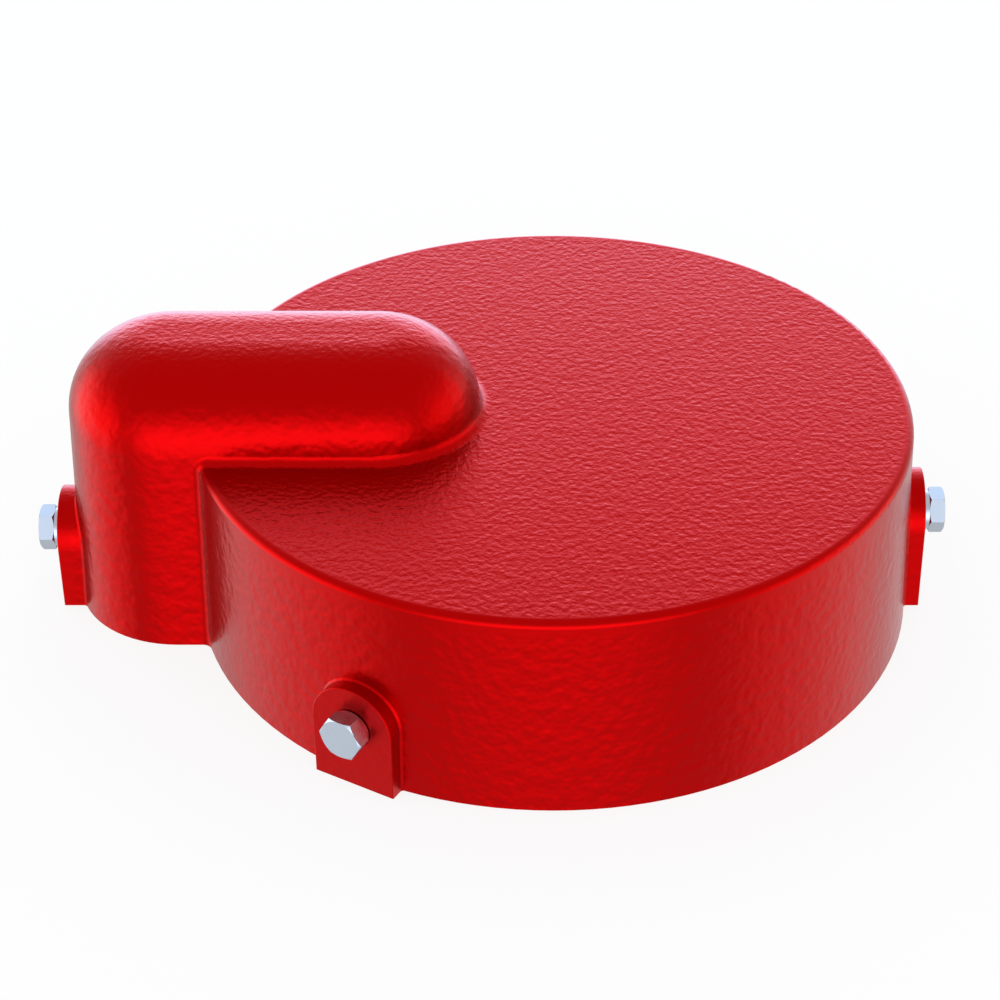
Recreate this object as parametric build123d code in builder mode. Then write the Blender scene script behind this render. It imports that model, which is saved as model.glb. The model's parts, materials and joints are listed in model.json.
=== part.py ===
"""Well-casing cap with a cable hood.

A one-piece casting slips over the top of a steel well casing. Its hood carries the pump cable
from the casing, over the rim and down into a conduit that stands beside it. Three hex-head set
screws grip the casing and a fourth grips the conduit.

The cap's axis is Z, with the open mouth of the skirt at z = 0 and the hood towards -X.
Lengths are in millimetres and angles in degrees.
"""

from build123d import *
from math import cos, radians, sin, tan
import os

# The pipes that the cap joins, and the gaps that the fit needs on the radius.
casing_diameter = 219.1
casing_clearance = 0.75
conduit_diameter = 33.4
conduit_clearance = 0.45

# The drum: skirt and top plate, drafted so that the pattern leaves the sand.
skirt_height = 69.0
skirt_wall = 6.7
skirt_draft = 1.4
plate_thickness = 6.0
rim_rounding = 2.5

# The hood: a drafted slot that runs from inside the plate, over the rim and down to the mouth.
hood_height = 96.8
hood_half_width = 35.5
hood_reach = 65.5
hood_wall = 5.0
hood_draft = 1.9
hood_rounding = 27.0
hood_fillet = 3.3

# The conduit socket at the foot of the hood, and the walls on its two sides.
socket_depth = 38.0
socket_web = 6.6
leg_wall = 6.3

# The gasket that the casing's top edge presses against the plate.
gasket_thickness = 3.0
gasket_width = 12.5
gasket_clearance = 0.2
groove_depth = 0.7

# The M8 set screws, backed off until their tips clear the pipes.
screw_diameter = 7.8
screw_length = 11.0
thread_clearance = 0.07
point_chamfer = 1.0
head_across_flats = 13.0
head_height = 6.3
head_chamfer_angle = 30.0
collar_diameter = 12.9
collar_height = 1.3
head_gap = 0.35
side_screw_backed_out = 0.7
tip_clearance = 0.05

# The arched lugs that the screws are tapped through.
lug_half_width = 14.0
lug_root = 0.6
lug_edge = 0.2
low_screw_height = 22.0
high_screw_height = 29.0

# Radii and places that follow from the sizes above.
bore_radius = casing_diameter / 2 + casing_clearance
skirt_radius = bore_radius + skirt_wall
plate_underside = skirt_height - plate_thickness
gasket_seat = plate_underside - gasket_thickness
groove_radius = bore_radius + groove_depth
gasket_radius = groove_radius - gasket_clearance
port_radius = gasket_radius - gasket_width

socket_radius = conduit_diameter / 2 + conduit_clearance
conduit_offset = bore_radius + socket_web + socket_radius
leg_end = conduit_offset + socket_radius + leg_wall
hood_outer_centre = leg_end - hood_half_width
hood_middle = hood_outer_centre - hood_reach / 2
crown_half_width = hood_half_width - hood_height * tan(radians(hood_draft))
cavity_half_width = crown_half_width - hood_wall
vault_height = hood_height - hood_wall - cavity_half_width

# A lug stands just far enough out for its screw to keep clear of the bore and show its head gap.
screw_reach = screw_length - head_gap + tip_clearance
casing_lug_face = bore_radius + screw_reach
conduit_lug_face = conduit_offset + socket_radius + screw_reach
screw_hole_radius = screw_diameter / 2 + thread_clearance


def lug_plane(azimuth, face, height):
    """The flat face of a lug, with its origin on the screw's axis, x sideways and y upwards."""
    outward = Vector(cos(radians(azimuth)), sin(radians(azimuth)), 0)
    sideways = Vector(-outward.Y, outward.X, 0)
    return Plane(outward * face + Vector(0, 0, height), x_dir=sideways, z_dir=outward)


# The faces of the lugs. The screw opposite the hood sits higher than the others.
lugs = {
    "casing_screw_right": lug_plane(0, casing_lug_face, high_screw_height),
    "casing_screw_rear": lug_plane(120, casing_lug_face, low_screw_height),
    "casing_screw_front": lug_plane(240, casing_lug_face, low_screw_height),
    "conduit_screw": lug_plane(180, conduit_lug_face, low_screw_height),
}
# The two screws in line with the hood are backed out a little further.
backed_out = {"casing_screw_right": side_screw_backed_out, "conduit_screw": side_screw_backed_out}

# The hood as a solid, rounded along the whole of its top edge.
with BuildPart() as hood:
    with BuildSketch(Plane.XY):
        with Locations((-hood_middle, 0)):
            SlotCenterToCenter(hood_reach, 2 * hood_half_width)
    extrude(amount=hood_height, taper=hood_draft)
    fillet(hood.edges().group_by(Axis.Z)[-1], hood_rounding)

# The space inside the hood: a plain slot under a round vault, above the conduit socket and
# outside the drum.
with BuildPart() as hood_cavity:
    with BuildSketch(Plane.XY):
        with Locations((-hood_middle, 0)):
            SlotCenterToCenter(hood_reach, 2 * cavity_half_width)
    extrude(amount=vault_height)
    with Locations((-hood_middle, 0, vault_height)):
        Cylinder(cavity_half_width, hood_reach, rotation=(0, 90, 0))
        with Locations((-hood_reach / 2, 0), (hood_reach / 2, 0)):
            Sphere(cavity_half_width)
    with BuildSketch(Plane.XY):
        Circle(bore_radius + socket_web)
    extrude(amount=skirt_height, mode=Mode.SUBTRACT)
    split(bisect_by=Plane.XY.offset(socket_depth), keep=Keep.TOP)

# The casting: drum and hood grow into each other along one blended seam.
with BuildPart() as cap_casting:
    with BuildSketch(Plane.XY):
        Circle(skirt_radius)
    extrude(amount=skirt_height, taper=skirt_draft)
    fillet(cap_casting.edges().group_by(Axis.Z)[-1], rim_rounding)
    add(hood.part)
    fillet(cap_casting.edges(Select.NEW), hood_fillet)

    # Arched lugs stand out from the wall and end flush with the mouth.
    for face_plane in lugs.values():
        height = face_plane.origin.Z
        with BuildSketch(face_plane):
            Circle(lug_half_width)
            with Locations((0, -height / 2)):
                Rectangle(2 * lug_half_width, height)
        extrude(amount=-screw_reach)
        root = cap_casting.edges(Select.NEW).filter_by(GeomType.LINE, reverse=True)
        chamfer(root, lug_root)
        arch = cap_casting.faces().filter_by(face_plane).sort_by(Axis((0, 0, 0), face_plane.z_dir))[-1]
        rounded = [edge for edge in arch.edges() if edge.center().Z > 0.01]
        chamfer(rounded, lug_edge)

    # The bore for the casing, with a groove at its blind end that holds the gasket.
    with BuildSketch(Plane.XY):
        Circle(bore_radius)
    extrude(amount=plate_underside, mode=Mode.SUBTRACT)
    with BuildSketch(Plane.XY.offset(gasket_seat)):
        Circle(groove_radius)
    extrude(amount=gasket_thickness, mode=Mode.SUBTRACT)

    # The cable's way: up through a port inside the gasket, over the rim and down to the conduit.
    with BuildSketch(Plane.XY.offset(plate_underside)):
        with Locations((-hood_middle, 0)):
            SlotCenterToCenter(hood_reach, 2 * cavity_half_width)
        Circle(port_radius, mode=Mode.INTERSECT)
    extrude(amount=plate_thickness, mode=Mode.SUBTRACT)
    add(hood_cavity.part, mode=Mode.SUBTRACT)
    with BuildSketch(Plane.XY):
        with Locations((-conduit_offset, 0)):
            Circle(socket_radius)
    extrude(amount=socket_depth, mode=Mode.SUBTRACT)

    # The tapped holes, drawn at the thread's outside diameter.
    for face_plane in lugs.values():
        with BuildSketch(face_plane):
            Circle(screw_hole_radius)
        extrude(amount=-screw_reach - socket_radius / 2, mode=Mode.SUBTRACT)
cap_casting.part.label = "cap_casting"

# A flat rubber ring, snapped into the groove and lying against the plate.
with BuildPart() as casing_gasket:
    with BuildSketch(Plane.XY.offset(gasket_seat)):
        Circle(gasket_radius)
        Circle(port_radius, mode=Mode.SUBTRACT)
    extrude(amount=gasket_thickness)
casing_gasket.part.label = "casing_gasket"


def make_set_screw(seat_plane):
    """A hex-head set screw whose collar stands a small gap off the seat plane."""
    under_head = seat_plane.offset(head_gap)
    hexagon_height = head_height - collar_height
    with BuildPart() as screw:
        # The hexagon has its corners to the sides, and both of its ends are turned to a cone.
        with BuildSketch(under_head.offset(collar_height)):
            RegularPolygon(head_across_flats / 2, 6, major_radius=False)
        extrude(amount=hexagon_height)
        for end_height, amount in ((collar_height, hexagon_height), (head_height, -hexagon_height)):
            with BuildSketch(under_head.offset(end_height)):
                Circle(head_across_flats / 2)
            extrude(amount=amount, taper=head_chamfer_angle - 90, mode=Mode.INTERSECT)
        # A round collar under the hexagon.
        with BuildSketch(under_head):
            Circle(collar_diameter / 2)
        extrude(amount=collar_height)
        # The shank, with its end turned down so that it starts easily in the tapped hole.
        with BuildSketch(under_head):
            Circle(screw_diameter / 2)
        extrude(amount=-screw_length)
        tip = screw.edges().filter_by(GeomType.CIRCLE).sort_by(Axis((0, 0, 0), seat_plane.z_dir))[0]
        chamfer(tip, point_chamfer)
    return screw.part


os.makedirs("parts", exist_ok=True)
export_step(cap_casting.part, "parts/cap_casting.step")
export_step(casing_gasket.part, "parts/casing_gasket.step")
for name, face_plane in lugs.items():
    set_screw = make_set_screw(face_plane.offset(backed_out.get(name, 0)))
    set_screw.label = name
    export_step(set_screw, f"parts/{name}.step")
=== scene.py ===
"""A red cast cap for a well casing, with a cable hood and four zinc-plated set screws."""

import json
from math import cos, pi, radians, sin, tan

import bmesh
import bpy
from mathutils import Matrix, Vector


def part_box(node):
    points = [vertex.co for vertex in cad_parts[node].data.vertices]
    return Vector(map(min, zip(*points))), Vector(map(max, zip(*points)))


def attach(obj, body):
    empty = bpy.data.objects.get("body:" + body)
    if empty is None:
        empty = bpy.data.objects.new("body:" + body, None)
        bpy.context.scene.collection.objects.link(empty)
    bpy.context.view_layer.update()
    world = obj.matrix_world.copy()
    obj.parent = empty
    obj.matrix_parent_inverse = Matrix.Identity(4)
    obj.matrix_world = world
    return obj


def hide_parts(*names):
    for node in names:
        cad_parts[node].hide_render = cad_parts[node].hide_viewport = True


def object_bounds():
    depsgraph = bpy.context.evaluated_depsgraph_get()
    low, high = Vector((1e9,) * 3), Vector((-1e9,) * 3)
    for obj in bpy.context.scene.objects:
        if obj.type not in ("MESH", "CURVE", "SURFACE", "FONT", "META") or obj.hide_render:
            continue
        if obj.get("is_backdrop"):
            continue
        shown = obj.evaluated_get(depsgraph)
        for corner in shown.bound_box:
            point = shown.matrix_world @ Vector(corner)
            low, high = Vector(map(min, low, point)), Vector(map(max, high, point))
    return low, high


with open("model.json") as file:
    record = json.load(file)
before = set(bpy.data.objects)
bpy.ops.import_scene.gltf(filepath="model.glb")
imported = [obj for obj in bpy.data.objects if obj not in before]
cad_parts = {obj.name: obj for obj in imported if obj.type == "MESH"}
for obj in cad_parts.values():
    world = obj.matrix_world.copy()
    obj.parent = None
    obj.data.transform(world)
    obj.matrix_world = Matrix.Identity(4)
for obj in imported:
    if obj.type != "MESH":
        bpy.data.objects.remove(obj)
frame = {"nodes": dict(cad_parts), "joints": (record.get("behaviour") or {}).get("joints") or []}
cad_low, cad_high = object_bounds()
scene = bpy.context.scene
scene.view_settings.view_transform = "Standard"


# ---------------------------------------------------------------------------
# The studio: a white table top, a white sky and soft lamps, with the camera
# a little above the cap and in front of it. None of it is part of the cap.
# ---------------------------------------------------------------------------
def linear(hex_colour):
    """The linear colour of an sRGB hex value."""
    parts = [int(hex_colour[i:i + 2], 16) / 255 for i in (1, 3, 5)]
    return tuple(p / 12.92 if p <= 0.04045 else ((p + 0.055) / 1.055) ** 2.4 for p in parts) + (1.0,)


def add_node(tree, kind, links=None, **settings):
    """Adds a node. Each socket takes a value, another node's output, or a node for its first output."""
    node = tree.nodes.new("ShaderNode" + kind)
    for name, value in settings.items():
        setattr(node, name, value)
    for socket, source in (links or {}).items():
        if isinstance(source, bpy.types.Node):
            source = source.outputs[0]
        if isinstance(source, bpy.types.NodeSocket):
            tree.links.new(source, node.inputs[socket])
        else:
            node.inputs[socket].default_value = source
    return node


def new_material(name):
    """An empty material and its node tree."""
    material = bpy.data.materials.new(name)
    material.use_nodes = True
    material.node_tree.nodes.clear()
    return material, material.node_tree


camera_place = (-0.00184, -0.7283, 0.5327)
camera_tilt = radians(55.53)
camera_data = bpy.data.cameras.new("camera")
camera_data.lens = 96.68
camera_data.sensor_width = 36.0
camera_data.shift_x = -0.0476
camera_data.clip_start = 0.05
camera_data.clip_end = 50.0
camera = bpy.data.objects.new("camera", camera_data)
camera.location = camera_place
camera.rotation_euler = (camera_tilt, 0.0, 0.0)
scene.collection.objects.link(camera)
scene.camera = camera

# The sky is plain white where it is looked at. What lights the cap is a grey dome, a little brighter
# above than below, which changes over within half a radian of the horizon.
dome_below, dome_above = 0.845, 0.875
dome_blend = 0.5
# Soft boxes stand round the dome. Their angles are in degrees, with bearings from the front towards
# the right, and a box gives half its level at its half width and half height. The one whose level is
# below zero is a dark flag, low down at the back on the left.
soft_boxes = [
    # bearing, half width, height, half height, squareness, softness, level, colour
    (0, 35, -4, 23, 3, 0.9, 2.08, "#dfe9ff"),
    (-91, 35, -5, 24, 6, 0.9, 1.38, "#ffffff"),
    (-132, 28, -38, 18, 4, 0.5, -0.12, "#ffffff"),
    (90, 32, -5, 26, 6, 0.9, 0.88, "#fff6e8"),
    (180, 30, 7, 27, 4, 0.5, 1.36, "#bbd4ff"),
    (180, 31, 3, 16, 4, 0.9, 1.70, "#8adcff"),
]
world = bpy.data.worlds.new("white_sky")
scene.world = world
world.use_nodes = True
sky = world.node_tree
sky.nodes.clear()
direction = add_node(sky, "TexCoord").outputs["Generated"]
level_way = add_node(sky, "VectorMath", {0: direction, 1: (1, 1, 0)}, operation="MULTIPLY")
level_way = add_node(sky, "VectorMath", {0: level_way}, operation="NORMALIZE")
upward = add_node(sky, "SeparateXYZ", {0: direction}).outputs["Z"]
elevation = add_node(sky, "Math", {0: upward}, operation="ARCSINE")
light = add_node(sky, "MapRange", {0: elevation, 1: -dome_blend, 2: dome_blend, 3: dome_below, 4: dome_above})
for bearing, half_width, height, half_height, squareness, softness, level, colour in soft_boxes:
    facing = (sin(radians(bearing)), -cos(radians(bearing)), 0)
    across = add_node(sky, "VectorMath", {0: level_way, 1: facing}, operation="DOT_PRODUCT")
    across = add_node(sky, "Math", {0: across.outputs["Value"]}, operation="ARCCOSINE")
    across = add_node(sky, "Math", {0: across, 1: radians(half_width)}, operation="DIVIDE")
    across = add_node(sky, "Math", {0: across, 1: squareness}, operation="POWER")
    up = add_node(sky, "Math", {0: elevation, 1: radians(height)}, operation="SUBTRACT")
    up = add_node(sky, "Math", {0: up, 1: radians(half_height)}, operation="DIVIDE")
    away = add_node(sky, "Math", {0: up, 1: up, 2: across}, operation="MULTIPLY_ADD")
    away = add_node(sky, "Math", {0: away}, operation="SQRT")
    edge = {0: away, 1: 1 + softness, 2: 1 - softness, 3: 0.0, 4: level}
    glow = add_node(sky, "MapRange", edge, interpolation_type="SMOOTHSTEP")
    tinted = add_node(sky, "VectorMath", {0: linear(colour)[:3], "Scale": glow}, operation="SCALE")
    light = add_node(sky, "VectorMath", {0: light, 1: tinted}, operation="ADD")
lit = add_node(sky, "Background", {"Color": light, "Strength": 1.0})
white = add_node(sky, "Background", {"Color": linear("#ffffff"), "Strength": 1.0})
ray = add_node(sky, "LightPath").outputs
seen = add_node(sky, "Math", {0: ray["Is Camera Ray"], 1: ray["Is Transmission Ray"]}, operation="MAXIMUM")
both = add_node(sky, "MixShader", {0: seen, 1: lit, 2: white})
add_node(sky, "OutputWorld", {"Surface": both})

# The table top is white too. The part of it that isn't plain white is lit, and keeps a faint shadow.
table_half_width = 6.0
table_gap = 0.0002
white_part = 0.85
table_mesh = bpy.data.meshes.new("table_top")
shape = bmesh.new()
bmesh.ops.create_grid(shape, x_segments=1, y_segments=1, size=table_half_width)
bmesh.ops.translate(shape, verts=shape.verts, vec=(0, 0, cad_low.z - table_gap))
shape.to_mesh(table_mesh)
shape.free()
table_top = bpy.data.objects.new("table_top", table_mesh)
scene.collection.objects.link(table_top)
table_top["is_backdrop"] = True
table_top.visible_glossy = False
material, tree = new_material("matt_white_table_top")
seen = add_node(tree, "LightPath").outputs["Is Camera Ray"]
white_seen = add_node(tree, "Math", {0: seen, 1: white_part}, operation="MULTIPLY")
matt = add_node(tree, "BsdfDiffuse", {"Color": linear("#fcfcfc")})
glow = add_node(tree, "Emission", {"Color": linear("#ffffff"), "Strength": 1.0})
both = add_node(tree, "MixShader", {0: white_seen, 1: matt, 2: glow})
add_node(tree, "OutputMaterial", {"Surface": both})
table_top.data.materials.append(material)


# ---------------------------------------------------------------------------
# The casting: sand-cast grey iron, sprayed with glossy red enamel. That draws up
# into a fine orange peel where it lies flat and into longer waves on the walls.
# It is thin and smooth round the plate's rim, and duller on the lugs.
# ---------------------------------------------------------------------------
skirt_radius = 0.1170
skirt_height = 0.0690
# The rim's rounding begins at this height on the skirt and ends at this radius on the plate.
rim_rounding = 0.0025
rim_start_height, rim_end_radius = 0.06656, 0.11287
# The hood, with the blend at its foot, keeps within this much of the middle where it crosses the rim.
hood_half_width = 0.0385
hood_seam = -0.1000
conduit_lug_root, conduit_lug_clear = -0.1572, -0.1580
blend_width = 0.0010
# Towards the rim, the relief is flattened between these radii and between these heights.
smooth_from_radius, smooth_at_radius = 0.1115, 0.1130
smooth_from_height, smooth_at_height = 0.0625, 0.0655
# The upward part of the way a surface faces, from where it counts as a wall to where it lies flat.
wall_lean, flat_lean = 0.80, 0.96
wave_length = 0.0036
peel_length = 0.0019
relief_depth = 0.00032
wave_share, lug_share, rim_share = 0.79, 0.5, 0.25
wall_roughness, lug_roughness = 0.27, 0.36

material, tree = new_material("glossy_red_enamel_on_cast_iron")
coords = add_node(tree, "TexCoord").outputs["Object"]
place = add_node(tree, "SeparateXYZ", {0: coords}).outputs
level_place = add_node(tree, "VectorMath", {0: coords, 1: (1, 1, 0)}, operation="MULTIPLY")
radius = add_node(tree, "VectorMath", {0: level_place}, operation="LENGTH").outputs["Value"]

# The lugs are what stands out beyond the skirt, and beyond the leg.
off_skirt = add_node(tree, "MapRange", {0: radius, 1: skirt_radius, 2: skirt_radius + blend_width})
seam = {0: place["X"], 1: hood_seam - blend_width / 2, 2: hood_seam + blend_width / 2}
off_hood = add_node(tree, "MapRange", seam)
casing_lugs = add_node(tree, "Math", {0: off_skirt, 1: off_hood}, operation="MULTIPLY")
conduit_lug = add_node(tree, "MapRange", {0: place["X"], 1: conduit_lug_root, 2: conduit_lug_clear})
on_lugs = add_node(tree, "Math", {0: casing_lugs, 1: conduit_lug}, operation="MAXIMUM")

# The rim runs round the plate from one side of the hood to the other.
sideways = add_node(tree, "Math", {0: place["Y"]}, operation="ABSOLUTE")
beside_hood = add_node(tree, "MapRange", {0: sideways, 1: hood_half_width, 2: hood_half_width + blend_width})
beside_hood = add_node(tree, "Math", {0: beside_hood, 1: off_hood}, operation="MAXIMUM")
near_edge = add_node(tree, "MapRange", {0: radius, 1: smooth_from_radius, 2: smooth_at_radius})
near_top = add_node(tree, "MapRange", {0: place["Z"], 1: smooth_from_height, 2: smooth_at_height})
near_rim = add_node(tree, "Math", {0: near_edge, 1: near_top}, operation="MULTIPLY")
near_rim = add_node(tree, "Math", {0: near_rim, 1: beside_hood}, operation="MULTIPLY")

# The rounding of the rim faces the way that its place on the arc gives, so that no facet shows.
rise = add_node(tree, "MapRange", {0: place["Z"], 1: skirt_height - rim_rounding, 2: skirt_height})
reach = add_node(tree, "Math", {0: rise}, operation="ARCSINE")
reach = add_node(tree, "Math", {0: reach}, operation="COSINE")
outward = add_node(tree, "VectorMath", {0: level_place}, operation="NORMALIZE")
outward = add_node(tree, "VectorMath", {0: outward, "Scale": reach}, operation="SCALE")
upward = add_node(tree, "CombineXYZ", {"Z": rise})
rounded = add_node(tree, "VectorMath", {0: outward, 1: upward}, operation="ADD")
above_skirt = add_node(tree, "Math", {0: place["Z"], 1: rim_start_height}, operation="GREATER_THAN")
off_plate = add_node(tree, "Math", {0: radius, 1: rim_end_radius}, operation="GREATER_THAN")
on_rim = add_node(tree, "Math", {0: above_skirt, 1: off_plate}, operation="MULTIPLY")
on_rim = add_node(tree, "Math", {0: on_rim, 1: beside_hood}, operation="MULTIPLY")
cast_form = add_node(tree, "NewGeometry").outputs["Normal"]
form = add_node(tree, "Mix", {0: on_rim, 4: cast_form, 5: rounded}, data_type="VECTOR").outputs[1]

# Waves on the walls go over into peel where the enamel lies flat.
lying = add_node(tree, "SeparateXYZ", {0: form}).outputs["Z"]
lying = add_node(tree, "MapRange", {0: lying, 1: wall_lean, 2: flat_lean})
noise = {"Vector": coords, "Roughness": 0.5}
waves = add_node(tree, "TexNoise", noise | {"Scale": 1 / wave_length, "Detail": 1.0})
peel = add_node(tree, "TexNoise", noise | {"Scale": 1 / peel_length, "Detail": 1.5})
relief = add_node(tree, "Mix", {0: lying, 2: waves, 3: peel})
strength = add_node(tree, "MapRange", {0: lying, 3: wave_share, 4: 1.0})
for finish, share in ((on_lugs, lug_share), (near_rim, rim_share)):
    thinned = add_node(tree, "MapRange", {0: finish, 3: 1.0, 4: share})
    strength = add_node(tree, "Math", {0: strength, 1: thinned}, operation="MULTIPLY")
skin = {"Strength": strength, "Distance": relief_depth, "Height": relief, "Normal": form}
enamel = add_node(tree, "BsdfPrincipled", {
    "Base Color": linear("#b40506"),
    "Metallic": 1.0,
    "Roughness": add_node(tree, "MapRange", {0: on_lugs, 3: wall_roughness, 4: lug_roughness}),
    "Normal": add_node(tree, "Bump", skin),
})
add_node(tree, "OutputMaterial", {"Surface": enamel})
frame["nodes"]["cap_casting"].material_slots[0].material = material


# ---------------------------------------------------------------------------
# The casing gasket: a flat ring die-cut from black rubber sheet and snapped
# into the groove under the plate, where the end of the casing beds into it.
# ---------------------------------------------------------------------------
bloom_size = 0.006
skin_size = 0.0006
skin_depth, skin_strength = 0.0001, 0.4
noise_low, noise_high = 0.3, 0.7
clean_rubber, dusty_rubber = 0.55, 0.75

# A grey bloom clouds the rubber, and its skin is drawn coarser than it is, so that it shows.
material, tree = new_material("black_sheet_rubber")
coords = add_node(tree, "TexCoord").outputs["Object"]
bloom = add_node(tree, "TexNoise", {"Vector": coords, "Scale": 1 / bloom_size, "Detail": 3.0})
greys = add_node(tree, "Mix", {0: bloom, 6: linear("#131315"), 7: linear("#2c2c2d")}, data_type="RGBA")
dull = add_node(tree, "MapRange", {0: bloom, 1: noise_low, 2: noise_high, 3: clean_rubber, 4: dusty_rubber})
skin = add_node(tree, "TexNoise", {"Vector": coords, "Scale": 1 / skin_size, "Detail": 2.0})
bump = add_node(tree, "Bump", {"Strength": skin_strength, "Distance": skin_depth, "Height": skin})
rubber = add_node(tree, "BsdfPrincipled", {"Base Color": greys.outputs[2], "Roughness": dull, "Normal": bump})
add_node(tree, "OutputMaterial", {"Surface": rubber})
frame["nodes"]["casing_gasket"].material_slots[0].material = material


# ---------------------------------------------------------------------------
# The set screws: M8 steel screws turned from hexagon bar, with a round collar
# under the head, a rolled thread, a turned point and a bright zinc plate.
# Three are tapped into the skirt's lugs and one into the lug on the leg.
# ---------------------------------------------------------------------------
across_flats = 0.0130
head_height = 0.0063
collar_radius = 0.00645
collar_height = 0.0013
edge_break = 0.00012
screw_length = 0.0110
thread_radius = 0.0039
thread_pitch = 0.00125
thread_depth = 0.00068
root_share = 2 / 3
point_length = 0.0010
turned_steps = 72
thread_steps = 36
turns_before, turns_after = 2, 3
weld_distance = 1e-6
machined_edge = radians(20)
shaded_edge = radians(25)


def cut_flat(shape, place, outward):
    """Cuts away what lies outside a plane and closes the cut with a flat face."""
    geometry = shape.verts[:] + shape.edges[:] + shape.faces[:]
    bmesh.ops.bisect_plane(
        shape, geom=geometry, dist=weld_distance / 10, plane_co=place, plane_no=outward, clear_outer=True,
    )
    on_plane = {vert for vert in shape.verts if abs((vert.co - place).dot(outward)) < weld_distance}
    rim = [edge for edge in shape.edges if edge.is_boundary and on_plane.issuperset(edge.verts)]
    bmesh.ops.holes_fill(shape, edges=rim, sides=0)


def turn_profile(shape, profile, **spin):
    """Spins an outline of (radius, height) points about Z."""
    points = [shape.verts.new((x, 0, z)) for x, z in profile]
    outline = [shape.edges.new(pair) for pair in zip(points, points[1:])]
    bmesh.ops.spin(shape, geom=points + outline, axis=(0, 0, 1), **spin)
    bmesh.ops.remove_doubles(shape, verts=shape.verts, dist=weld_distance)


def make_screw_head():
    """The head as it is machined: a turned blank with its top at z = 0, and six flats milled on it."""
    flat_radius = across_flats / 2
    corner_radius = flat_radius / cos(pi / 6)
    cone_height = (corner_radius - flat_radius) * tan(pi / 6)
    under_hexagon = collar_height - head_height
    head = bmesh.new()
    turn_profile(head, [
        (0, 0), (flat_radius, 0), (corner_radius, -cone_height),
        (corner_radius, under_hexagon + cone_height), (flat_radius, under_hexagon),
        (collar_radius, under_hexagon), (collar_radius, -head_height), (0, -head_height),
    ], angle=2 * pi, steps=turned_steps, use_merge=True)
    for flat in range(6):
        outward = Matrix.Rotation(flat * pi / 3, 3, "Z") @ Vector((0, 1, 0))
        cut_flat(head, outward * flat_radius, outward)
    bmesh.ops.recalc_face_normals(head, faces=head.faces)
    corners = [edge for edge in head.edges if edge.calc_face_angle(0) > machined_edge]
    bmesh.ops.bevel(
        head, geom=corners, offset=edge_break, offset_type="OFFSET", affect="EDGES", segments=2, profile=0.5,
        material=-1, clamp_overlap=True,
    )
    return head


def make_screw_shank():
    """The rolled thread, one pitch of its profile spun along a helix, and the turned point.

    Its other end reaches a little way into the head.
    """
    flank = thread_depth * tan(pi / 6)
    root_width = (thread_pitch - 2 * flank) * root_share
    root_radius = thread_radius - thread_depth
    tip = -head_height - screw_length
    under_head = edge_break * 2 - head_height
    start = tip - turns_before * thread_pitch
    turns = turns_before + int(screw_length / thread_pitch) + turns_after
    shank = bmesh.new()
    turn_profile(shank, [
        (root_radius, start), (root_radius, start + root_width), (thread_radius, start + root_width + flank),
        (thread_radius, start + thread_pitch - flank), (root_radius, start + thread_pitch),
    ], angle=2 * pi * turns, steps=turns * thread_steps, dvec=(0, 0, thread_pitch / thread_steps))
    cut_flat(shank, Vector((0, 0, tip)), Vector((0, 0, -1)))
    cut_flat(shank, Vector((0, 0, under_head)), Vector((0, 0, 1)))
    for vert in shank.verts:
        widest = thread_radius - point_length + vert.co.z - tip
        if vert.co.xy.length > widest:
            vert.co.xy *= widest / vert.co.xy.length
    bmesh.ops.recalc_face_normals(shank, faces=shank.faces)
    return shank


# Handling has dulled the plate in soft patches. Its grain is drawn coarser than it is, so that it shows.
handling_size = 0.004
grain_size = 0.0005
grain_depth, grain_strength = 0.00003, 0.15
bright_zinc, handled_zinc = 0.26, 0.36

material, tree = new_material("bright_zinc_plate_on_turned_steel")
coords = add_node(tree, "TexCoord").outputs["Object"]
handling = add_node(tree, "TexNoise", {"Vector": coords, "Scale": 1 / handling_size, "Detail": 4.0})
dull = add_node(tree, "MapRange", {0: handling, 1: noise_low, 2: noise_high, 3: bright_zinc, 4: handled_zinc})
grain = add_node(tree, "TexNoise", {"Vector": coords, "Scale": 1 / grain_size, "Detail": 2.0})
bump = add_node(tree, "Bump", {"Strength": grain_strength, "Distance": grain_depth, "Height": grain})
zinc = add_node(tree, "BsdfPrincipled", {
    "Base Color": linear("#b5bfcb"),
    "Metallic": 1.0,
    "Roughness": dull,
    "Normal": bump,
})
add_node(tree, "OutputMaterial", {"Surface": zinc})

# Each screw takes the place of its plain solid, with two corners of its head to the sides.
head, shank = make_screw_head(), make_screw_shank()
for joint in frame["joints"]:
    name = joint["child"]
    outward = Vector(joint["axis"])
    low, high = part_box(name)
    face = max(vert.co.dot(outward) for vert in frame["nodes"][name].data.vertices)
    middle = (low.z + high.z) / 2
    corner_way = Vector((0, 0, 1)).cross(outward)
    turned = Matrix((corner_way, Vector((0, 0, 1)), outward)).transposed().to_4x4()
    seated = Matrix.Translation(outward * face + Vector((0, 0, middle))) @ turned
    mesh = bpy.data.meshes.new(name + "_m8")
    screw = bmesh.new()
    for half in (head, shank):
        half.to_mesh(mesh)
        screw.from_mesh(mesh)
    bmesh.ops.transform(screw, matrix=seated, verts=screw.verts)
    for edge in screw.edges:
        edge.smooth = edge.calc_face_angle(0) < shaded_edge
    for polygon in screw.faces:
        polygon.smooth = True
    screw.to_mesh(mesh)
    screw.free()
    mesh.materials.append(material)
    piece = bpy.data.objects.new(name + "_m8", mesh)
    scene.collection.objects.link(piece)
    weighting = piece.modifiers.new("even_shading", "WEIGHTED_NORMAL")
    weighting.keep_sharp = True
    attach(piece, name)
    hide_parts(name)
for half in (head, shank):
    half.free()

low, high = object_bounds()
